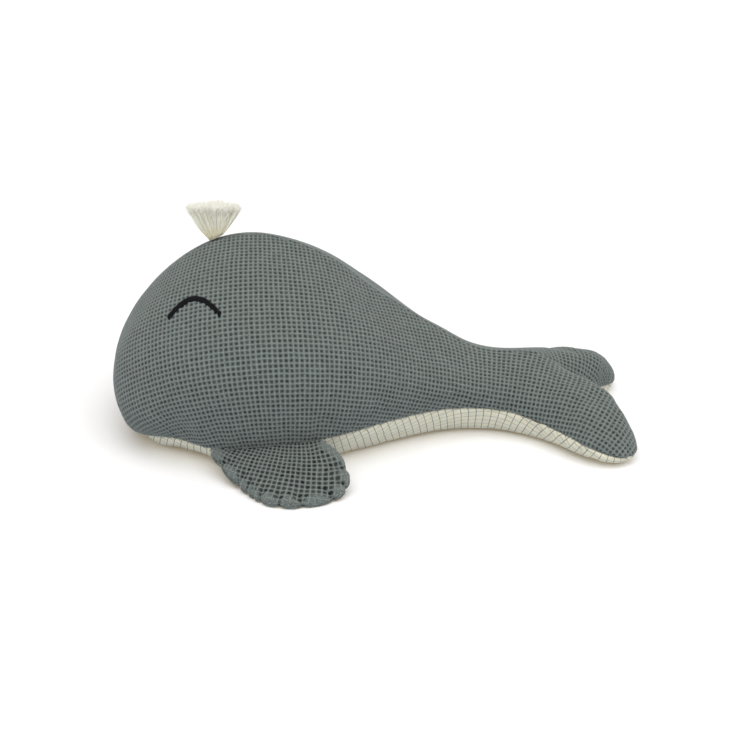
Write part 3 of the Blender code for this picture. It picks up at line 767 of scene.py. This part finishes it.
def thread_material(name, color, roughness, shine=0.3):
    material, tree, shader = principled(name, roughness)
    shader.inputs["Specular IOR Level"].default_value = shine
    place = add_node(tree, "ShaderNodeTexCoord").outputs["Object"]
    speckle = ramp(tree, noise_value(tree, place, 2500.0, 2.0), 0.3, 0.7)
    color_out = mix_color(tree, speckle, color, tuple(min(1, c * 1.7 + 0.004) for c in color))
    tree.links.new(color_out, shader.inputs["Base Color"])
    add_bump(tree, shader, speckle, 0.00008)
    return material


def tassel_material():
    material, tree, shader = principled("tassel_yarn", 0.8)
    along = add_node(tree, "ShaderNodeAttribute", attribute_name="along").outputs["Fac"]
    color = mix_color(tree, ramp(tree, along, 0.05, 0.50), TASSEL_ROOT_COLOR, TASSEL_MIDDLE_COLOR)
    color = mix_color(tree, ramp(tree, along, 0.75, 1.0), color, TASSEL_TIP_COLOR)
    place = add_node(tree, "ShaderNodeTexCoord").outputs["Object"]
    streak = ramp(tree, noise_value(tree, place, 1800.0, 1.0), 0.3, 0.7)
    color = mix_color(tree, math_node(tree, "MULTIPLY", streak, 0.18), color, TASSEL_ROOT_COLOR)
    tree.links.new(color, shader.inputs["Base Color"])
    shader.inputs["Sheen Weight"].default_value = 0.3
    return material


# Pieces

def mirrored(piece, name):
    """The same piece on the right side."""
    mesh = piece.data.copy()
    mesh.name = name
    mesh.transform(Matrix.Diagonal((1, -1, 1, 1)))
    mesh.flip_normals()
    return link_object(name, mesh)


def cloth_object(name, mesh, material):
    mesh.materials.clear()
    mesh.materials.append(material)
    return link_object(name, mesh)


def bend_at_waist(piece):
    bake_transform(piece)


def joint_place(name):
    return next(joint["pos_m"] for joint in frame["joints"] if joint["name"] == name)


def declare_sheet(flat):
    size = flat.high - flat.low
    sides = flat.flat[:, 1:] - flat.flat[:, :1]
    area = np.abs(sides[:, 0, 0] * sides[:, 1, 1] - sides[:, 0, 1] * sides[:, 1, 0]).sum() / 2
    area = min(area, size[0] * size[1])


def lay_as_seen(piece):
    """Settle the back, and draw the far fluke's tip in, as the whale lies in the photo."""
    points = np.zeros(len(piece.data.vertices) * 3)
    piece.data.vertices.foreach_get("co", points)
    points = points.reshape(-1, 3)
    fall = sum(depth * np.exp(-((points[:, 0] - x) / reach) ** 2) for x, reach, depth in BACK_FALLS)
    near_ridge = 1 - smooth_step(*BACK_FALL_ACROSS, np.abs(points[:, 1]))
    points[:, 2] -= fall * near_ridge * smooth_step(*BACK_FALL_HEIGHT, points[:, 2])
    along = smooth_step(*FLUKE_DRAW_ALONG, points[:, 0])
    share = along * smooth_step(*FLUKE_DRAW_ACROSS, points[:, 1])
    low = 1 - smooth_step(0, FLUKE_ROLL_HEIGHT, points[:, 2])
    roll = FLUKE_ROLL * along * smooth_step(*FLUKE_ROLL_ACROSS, points[:, 1]) * low
    rise = np.minimum(points[:, 2] / FLUKE_ROLL_HEIGHT, 1)
    points += np.column_stack([share * FLUKE_DRAW[0], share * FLUKE_DRAW[1] - roll, share * FLUKE_DRAW[2] * rise])
    piece.data.vertices.foreach_set("co", points.ravel())
    piece.data.update()


def make_back_panels(sheets, swelling, material):
    sheet = sheets["back_panel_left"].copy()
    sew(sheet, [sheets["back_panel_right"], sheets["belly_panel"]])
    mesh = subdivided(to_mesh(sheet, "back"), 1)
    lay_flat(mesh, (-0.065, -0.11, 0.075), (1, 0, 0))
    mesh = subdivided(mesh, 1)
    swelling.push(mesh)
    surface = subdivided(mesh, 1)
    flat = Flat(surface)
    relief = back_relief(sheets["back_panel_left"])
    cloth = woven("waffle_back_left", flat, WAFFLE_PITCH, WAFFLE_STEPS, relief)
    left = cloth_object("waffle_back_left", cloth, material)
    right = mirrored(left, "waffle_back_right")
    for piece, word in ((left, "left"), (right, "right")):
        lay_as_seen(piece)
        bend_at_waist(piece)
        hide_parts("back_panel_" + word)
        declare_sheet(flat)
    return surface


def make_belly(sheets, swelling, material):
    sheet = sheets["belly_panel"].copy()
    sew(sheet, [sheets["back_panel_left"], sheets["back_panel_right"]])
    mesh = subdivided(to_mesh(sheet, "belly"), 2)
    lay_flat(mesh, (-0.05, 0, 0), (1, 0, 0))
    swelling.push(mesh)
    flat = Flat(subdivided(mesh, 1))
    relief = check_relief(sheets["belly_panel"])
    cloth = woven("checked_belly", flat, CHECK_PITCH, CHECK_STEPS, relief)
    belly = cloth_object("checked_belly", cloth, material)
    lay_as_seen(belly)
    bend_at_waist(belly)
    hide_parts("belly_panel")
    declare_sheet(flat)
    return belly


def make_fins(sheets, material):
    """The upper and lower cloths of both fins."""
    panels = [sheets["back_panel_left"], sheets["belly_panel"]]
    cloths = {
        level: outer_sheet(f"fin_{level}_left", "fin_wadding_left") for level in ("upper", "lower")
    }
    for level, twin in (("upper", "lower"), ("lower", "upper")):
        sheet = cloths[level].copy()
        rim, middle = sew_fin(sheet, cloths[twin], panels)
        mesh = subdivided(to_mesh(sheet, "fin"), 1)
        lay_flat(mesh, middle, (1, -0.2, -0.1))
        flat = Flat(subdivided(mesh, 1))
        relief = fin_relief(rim, middle)
        name = f"fin_{level}_cloth_"
        cloth = woven(name + "left", flat, WAFFLE_PITCH, FIN_STEPS, relief)
        left = cloth_object(name + "left", cloth, material)
        right = mirrored(left, name + "right")
        for piece, word in ((left, "left"), (right, "right")):
            bend_at_fin(piece)
            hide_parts(f"fin_{level}_{word}")
            declare_sheet(flat)


def bend_at_fin(piece):
    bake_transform(piece)


def remeshed(name, nodes, voxel):
    """One closed form round the solids of some nodes."""
    form = bmesh.new()
    for node in nodes:
        form.from_mesh(frame["nodes"][node].data)
    bmesh.ops.remove_doubles(form, verts=form.verts[:], dist=WELD_DISTANCE)
    piece = link_object(name, to_mesh(form, name))
    remesh = piece.modifiers.new("Remesh", "REMESH")
    remesh.mode = "VOXEL"
    remesh.voxel_size = voxel
    smooth = piece.modifiers.new("Smooth", "SMOOTH")
    smooth.iterations = 3
    mesh = evaluated(piece, name)
    mesh.shade_smooth()
    return mesh


class Swelling:
    """The stuffed form, blown up as a cushion whose seams hold, and how far each place moved."""

    def __init__(self, sheets):
        self.mesh = remeshed("stuffing", ("body_filling", "tail_filling"), STUFFING_VOXEL)
        self.before = self.places()
        self.inflate(edge_samples(sheets))
        self.shift = self.places() - self.before
        self.tree = KDTree(len(self.before))
        for index, place in enumerate(self.before):
            self.tree.insert(place, index)
        self.tree.balance()

    def places(self):
        points = np.zeros(len(self.mesh.vertices) * 3)
        self.mesh.vertices.foreach_get("co", points)
        return points.reshape(-1, 3)

    def inflate(self, seams):
        seam_tree = sample_tree(seams)
        ridge_tree = sample_tree([sample for sample in seams if abs(sample[0].y) < RIDGE_HALF_WIDTH])
        form = link_object("inflated", self.mesh.copy())
        held = form.vertex_groups.new(name="held")
        for vertex in form.data.vertices:
            near_seam = seam_tree.find(vertex.co)[2] < SEAM_PIN_REACH
            if near_seam or vertex.co.z < REST_PIN_HEIGHT:
                held.add([vertex.index], 1.0, "REPLACE")
        cloth = form.modifiers.new("Cloth", "CLOTH")
        cloth.settings.quality = 6
        cloth.settings.use_pressure = True
        cloth.settings.uniform_pressure_force = INFLATE_PRESSURE
        cloth.settings.shrink_min = -INFLATE_EXTRA_CLOTH
        cloth.settings.vertex_group_mass = held.name
        cloth.settings.effector_weights.gravity = 0
        cloth.collision_settings.use_collision = False
        scene = bpy.context.scene
        for number in range(1, INFLATE_FRAMES + 1):
            scene.frame_set(number)
        blown = evaluated(form, "blown")
        points = np.zeros(len(blown.vertices) * 3)
        blown.vertices.foreach_get("co", points)
        scene.frame_set(1)
        shift = points.reshape(-1, 3) - self.before
        length = np.maximum(np.linalg.norm(shift, axis=1), WELD_DISTANCE)
        ridge = np.array([ridge_tree.find(place)[2] for place in self.before])
        along = self.before[:, 0]
        waist = smooth_step(*WAIST_START, along) * (1 - smooth_step(*WAIST_END, along))
        calm = smooth_step(*RIDGE_CALM, ridge) * (1 - waist)
        shift *= (np.minimum(1, INFLATE_LIMIT / length) * calm)[:, None]
        self.mesh.vertices.foreach_set("co", (self.before + shift).ravel())
        self.mesh.update()

    def push(self, mesh):
        """Move a sheet's points with the stuffing beneath them."""
        for vertex in mesh.vertices:
            near = self.tree.find_n(vertex.co, SHIFT_NEIGHBOURS)
            weights = np.array([1 / (distance + STUFFING_VOXEL / 4) for _, _, distance in near])
            shifts = self.shift[[index for _, index, _ in near]]
            vertex.co += Vector((shifts * weights[:, None]).sum(axis=0) / weights.sum())
        mesh.update()


def draw_back(mesh, notch):
    """Keep the stuffing clear of the corner where the sheets meet between the flukes."""
    for vertex in mesh.vertices:
        near = 1 - (vertex.co - notch).length / NOTCH_REACH
        if near > 0:
            vertex.co.x -= NOTCH_ROOM * near


def make_stuffing(swelling, notch, material):
    mesh = subdivided(swelling.mesh, 1)
    draw_back(mesh, notch)
    stuffing = cloth_object("stuffing", mesh, material)
    lay_as_seen(stuffing)
    bend_at_waist(stuffing)
    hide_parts("body_filling", "tail_filling")


def make_waddings(material):
    for word in ("left", "right"):
        node = "fin_wadding_" + word
        name = "fin_stuffing_" + word
        wadding = cloth_object(name, remeshed(name, (node,), WADDING_VOXEL), material)
        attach(wadding, "fin_" + word)
        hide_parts(node)


# Threads

def ellipse(sides, half_x, half_y):
    turns = [2 * math.pi * side / sides for side in range(sides)]
    return [Vector((math.cos(turn) * half_x, math.sin(turn) * half_y, 0)) for turn in turns]


class Threads:
    """Many thin round threads in one mesh."""

    def __init__(self, sides):
        self.sides = sides
        self.verts = []
        self.faces = []
        self.along = []

    def add(self, points, radii, along=None):
        points = [Vector(point) for point in points]
        rings = []
        for k, (point, radius) in enumerate(zip(points, radii)):
            ahead = points[min(k + 1, len(points) - 1)] - points[max(k - 1, 0)]
            turn = ahead.to_track_quat("Z", "Y").to_matrix()
            rings.append([point + turn @ rim for rim in ellipse(self.sides, radius, radius)])
        self.loft(rings, along or [0] * len(points))

    def loft(self, rings, along):
        """A closed skin through some rings of points."""
        first = len(self.verts)
        sides = len(rings[0])
        for ring, value in zip(rings, along):
            self.verts.extend(ring)
            self.along.extend([value] * sides)
        for k in range(len(rings) - 1):
            ring = first + k * sides
            for side in range(sides):
                other = (side + 1) % sides
                self.faces.append((ring + side, ring + other, ring + sides + other, ring + sides + side))
        last = first + (len(rings) - 1) * sides
        self.faces.append(tuple(range(first + sides - 1, first - 1, -1)))
        self.faces.append(tuple(range(last, last + sides)))

    def mesh(self, name):
        mesh = bpy.data.meshes.new(name)
        mesh.from_pydata(self.verts, [], self.faces)
        along = mesh.attributes.new("along", "FLOAT", "POINT")
        along.data.foreach_set("value", np.array(self.along, np.float32))
        mesh.shade_smooth()
        return mesh


def make_eyes(surface, material):
    """Satin stitches, side by side, along an arch on the cloth."""
    random = np.random.default_rng(4)
    tree = BVHTree.FromPolygons([v.co for v in surface.vertices], [p.vertices for p in surface.polygons])
    threads = Threads(6)
    front = EYE_FRONT_SHARE * EYE_WIDTH
    for k in range(EYE_STITCHES):
        t = (k / (EYE_STITCHES - 1) * EYE_WIDTH - front) / front
        slope = -2 * EYE_RISE * t / front
        middle = Vector((EYE_CROWN[0] + t * front, 0, EYE_CROWN[1] - EYE_RISE * t * t))
        across = Vector((-slope + random.normal(0, 0.06), 0, 1)).normalized()
        half = EYE_LINE_WIDTH / 2 * (1 + EYE_REAR_SWELL * max(t, 0))
        low = -half * (1 + random.uniform(-0.08, 0.16))
        high = half * (1 + random.uniform(-0.08, 0.08))
        points = []
        for share in (0, 0.15, 0.5, 0.85, 1):
            place = middle + across * between(low, high, share)
            hit, normal, _, _ = tree.ray_cast(Vector((place.x, -0.3, place.z)), Vector((0, 1, 0)))
            rise = EYE_THREAD_RISE * (1 - (2 * share - 1) ** 2) - 0.0002
            points.append(hit + normal * rise)
        radius = EYE_THREAD_RADIUS * random.uniform(0.9, 1.1)
        threads.add(points, [radius * share for share in (0.5, 1, 1, 1, 0.5)])
    left = cloth_object("eye_stitches_left", threads.mesh("eye_stitches_left"), material)
    right = mirrored(left, "eye_stitches_right")
    for piece, word in ((left, "left"), (right, "right")):
        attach(piece, "body")
        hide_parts("eye_" + word)


def tassel_core(root, pitch, random):
    """The inner yarns of the fan as one fluted mass, which ends below the tips."""
    shares = np.linspace(0, TASSEL_CORE_SHARE, STRAND_STEPS)
    flutes = 1 - TASSEL_FLUTE * random.uniform(0, 1, TASSEL_CORE_SIDES)
    rings = []
    for share in shares:
        spread = share ** TASSEL_FLARE
        along = between(TASSEL_ROOT_LENGTH, TASSEL_SPREAD, spread) / 2 * TASSEL_CORE_REACH
        across = between(TASSEL_ROOT_RADIUS, TASSEL_DEPTH / 2, spread) * TASSEL_CORE_REACH
        middle = Vector((TASSEL_LEAN * spread, 0, share * TASSEL_HEIGHT - TASSEL_ROOT_SINK))
        slope = Vector((1, 0, TASSEL_ROOT_SLOPE * (1 - share)))
        ring = []
        for rim, flute in zip(ellipse(TASSEL_CORE_SIDES, along, across), flutes):
            ring.append(root + pitch @ (middle + slope * rim.x * flute + Vector((0, rim.y * flute, 0))))
        rings.append(ring)
    return rings, shares


def make_tassel(material):
    """A fan of wavy locks of fine strands that all leave one short root along the ridge."""
    random = np.random.default_rng(11)
    root = Vector(joint_place("tassel_sway")) + Vector((TASSEL_SHIFT, 0, 0))
    threads = Threads(4)
    pitch = Matrix.Rotation(TASSEL_PITCH, 3, "Y")
    threads.loft(*tassel_core(root, pitch, random))
    shares = [step / (STRAND_STEPS - 1) for step in range(STRAND_STEPS)]
    radii = [STRAND_RADIUS * between(1.2, 0.5, share) for share in shares]
    for lock in range(TASSEL_LOCKS):
        around = 2 * math.pi * (lock + random.uniform(0, 1)) / TASSEL_LOCKS
        out = random.uniform(0, TASSEL_CORE_REACH) if lock % 4 == 0 else random.uniform(TASSEL_CORE_REACH, 1)
        lock_along = out * math.cos(around)
        lock_across = out * math.sin(around)
        lock_length = TASSEL_HEIGHT * random.uniform(0.93, 1.0) * (1 - 0.08 * lock_along * lock_along)
        lock_bend = Vector((random.normal(0, 0.0005), random.normal(0, 0.0006), 0))
        for _ in range(LOCK_STRANDS):
            along = lock_along + random.normal(0, 0.035)
            across = lock_across + random.normal(0, 0.06)
            start = Vector((along * TASSEL_ROOT_LENGTH / 2, across * TASSEL_ROOT_RADIUS, -TASSEL_ROOT_SINK))
            start.z += TASSEL_ROOT_SLOPE * start.x
            tip = Vector((
                along * TASSEL_SPREAD / 2 + TASSEL_LEAN + random.normal(0, 0.0006),
                across * TASSEL_DEPTH / 2 + random.normal(0, 0.0007),
                lock_length * random.uniform(0.90, 1.03) - TASSEL_ROOT_SINK,
            ))
            bend = lock_bend + Vector((random.normal(0, 0.0004), random.normal(0, 0.0004), 0))
            turn = random.uniform(0.7, 1.3) * math.pi
            points = []
            for share in shares:
                place = start.lerp(tip, share)
                spread = share ** TASSEL_FLARE
                place.x = between(start.x, tip.x, spread)
                place.y = between(start.y, tip.y, spread)
                place += bend * math.sin(turn * share)
                points.append(root + pitch @ place)
            threads.add(points, radii, shares)
    tassel = cloth_object("tassel_strands", threads.mesh("tassel_strands"), material)
    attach(tassel, "tassel")
    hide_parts("tassel")


def seam_paths(sheet):
    """The open edge of the left back panel as two lines of points: the ridge and the belly seam."""
    start = next(edge for edge in sheet.edges if edge.is_boundary)
    loop = [start.verts[0]]
    edge = start
    while edge.other_vert(loop[-1]) is not loop[0]:
        loop.append(edge.other_vert(loop[-1]))
        edge = next(e for e in loop[-1].link_edges if e.is_boundary and e is not edge)
    on_ridge = [abs(vertex.co.y) < RIDGE_HALF_WIDTH for vertex in loop]
    turn = next(k for k in range(len(loop)) if on_ridge[k] and not on_ridge[k - 1])
    loop = loop[turn:] + loop[:turn]
    count = sum(abs(vertex.co.y) < RIDGE_HALF_WIDTH for vertex in loop)
    return loop[:count], loop[count - 1:] + loop[:1]


def make_stitches(sheet, material):
    """Running stitches that lie deep in the seams."""
    ridge, side = seam_paths(sheet)
    lines = {
        "ridge": [Vector((v.co.x, 0, v.co.z)) - v.normal * SEAM_DEPTH for v in ridge],
        "left": [v.co - v.normal * SEAM_DEPTH for v in side],
    }
    pieces = {}
    for key, line in lines.items():
        threads = Threads(5)
        place = STITCH_GAP
        lengths = [(b - a).length for a, b in zip(line, line[1:])]
        ends = np.concatenate([[0], np.cumsum(lengths)])
        coords = np.array(line)
        while place + STITCH_LENGTH < ends[-1]:
            shares = np.linspace(place, place + STITCH_LENGTH, 4)
            points = [[np.interp(s, ends, coords[:, axis]) for axis in range(3)] for s in shares]
            threads.add(points, [STITCH_RADIUS * 0.6, STITCH_RADIUS, STITCH_RADIUS, STITCH_RADIUS * 0.6])
            place += STITCH_LENGTH + STITCH_GAP
        name = key + "_stitches"
        pieces[key] = cloth_object(name, threads.mesh(name), material)
    pieces["right"] = mirrored(pieces["left"], "right_stitches")
    replaced = {"ridge": "back_seam", "left": "belly_seam_left", "right": "belly_seam_right"}
    for key, piece in pieces.items():
        lay_as_seen(piece)
        bend_at_waist(piece)
        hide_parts(replaced[key])


# Room, light and camera

def make_floor():
    mesh = bpy.data.meshes.new("floor")
    half = FLOOR_SIZE / 2
    corners = [(-half, -half, 0), (half, -half, 0), (half, half, 0), (-half, half, 0)]
    mesh.from_pydata(corners, [], [(0, 1, 2, 3)])
    floor = link_object("floor", mesh)
    floor.location.z = -0.0002
    material, tree, shader = principled("white_floor", 0.9)
    shader.inputs["Base Color"].default_value = FLOOR_COLOR
    shader.inputs["Specular IOR Level"].default_value = 0.0
    shader.inputs["Emission Color"].default_value = FLOOR_GLOW_COLOR
    tree.links.new(seen_directly(tree), shader.inputs["Emission Strength"])
    mesh.materials.append(material)


def seen_directly(tree):
    """One where the camera, a mirror or glass sees a surface, and zero where it only gives light."""
    path = add_node(tree, "ShaderNodeLightPath")
    seen = math_node(tree, "MAXIMUM", path.outputs["Is Camera Ray"], path.outputs["Is Glossy Ray"])
    return math_node(tree, "MAXIMUM", seen, path.outputs["Is Transmission Ray"])


def make_light():
    world = bpy.data.worlds.new("studio")
    bpy.context.scene.world = world
    world.use_nodes = True
    tree = world.node_tree
    background = tree.nodes["Background"]
    lift = math_node(tree, "MULTIPLY", seen_directly(tree), 1.0 - SKY_STRENGTH)
    tree.links.new(math_node(tree, "ADD", lift, SKY_STRENGTH), background.inputs["Strength"])
    background.inputs["Color"].default_value = (1, 1, 1, 1)
    lamp = bpy.data.lights.new("softbox", "SUN")
    lamp.angle = math.radians(LAMP_SPREAD)
    lamp.energy = LAMP_POWER
    softbox = bpy.data.objects.new("softbox", lamp)
    bpy.context.scene.collection.objects.link(softbox)
    softbox.location = LAMP_PLACE
    softbox.rotation_euler = (-softbox.location).to_track_quat("-Z", "Y").to_euler()


def make_camera():
    data = bpy.data.cameras.new("camera")
    data.lens = CAMERA_LENS
    data.clip_start = 0.05
    data.clip_end = 50
    camera = bpy.data.objects.new("camera", data)
    bpy.context.scene.collection.objects.link(camera)
    rise = math.radians(CAMERA_ELEVATION)
    back = Vector((0, -math.cos(rise), math.sin(rise)))
    camera.location = Vector(CAMERA_TARGET) + back * CAMERA_DISTANCE
    camera.rotation_euler = (-back).to_track_quat("-Z", "Y").to_euler()
    bpy.context.scene.camera = camera


def build():
    bpy.context.scene.view_settings.view_transform = "Standard"
    waffle = waffle_material("waffle_cotton", PIT_SHADE_AND_FLECK_COLOR, PIT_SHADE_REACH)
    check = check_material()
    fibre = thread_material("polyester_filling", FIBRE_COLOR, 0.95)
    thread = thread_material("sewing_thread", THREAD_COLOR, 0.8)
    black = thread_material("embroidery_thread", EYE_COLOR, 0.7, 0.05)
    sheets = {
        name: outer_sheet(name, "body_filling")
        for name in ("back_panel_left", "back_panel_right", "belly_panel")
    }
    swelling = Swelling(sheets.values())
    surface = make_back_panels(sheets, swelling, waffle)
    make_belly(sheets, swelling, check)
    make_fins(sheets, waffle_material("fin_waffle", FIN_PIT_SHADE_AND_FLECK_COLOR, FIN_PIT_SHADE_REACH))
    ridge, _ = seam_paths(sheets["back_panel_left"])
    make_stuffing(swelling, max((vertex.co for vertex in ridge), key=lambda place: place.x), fibre)
    make_waddings(fibre)
    make_eyes(surface, black)
    make_tassel(tassel_material())
    make_stitches(sheets["back_panel_left"], thread)
    make_floor()
    make_light()
    make_camera()


build()
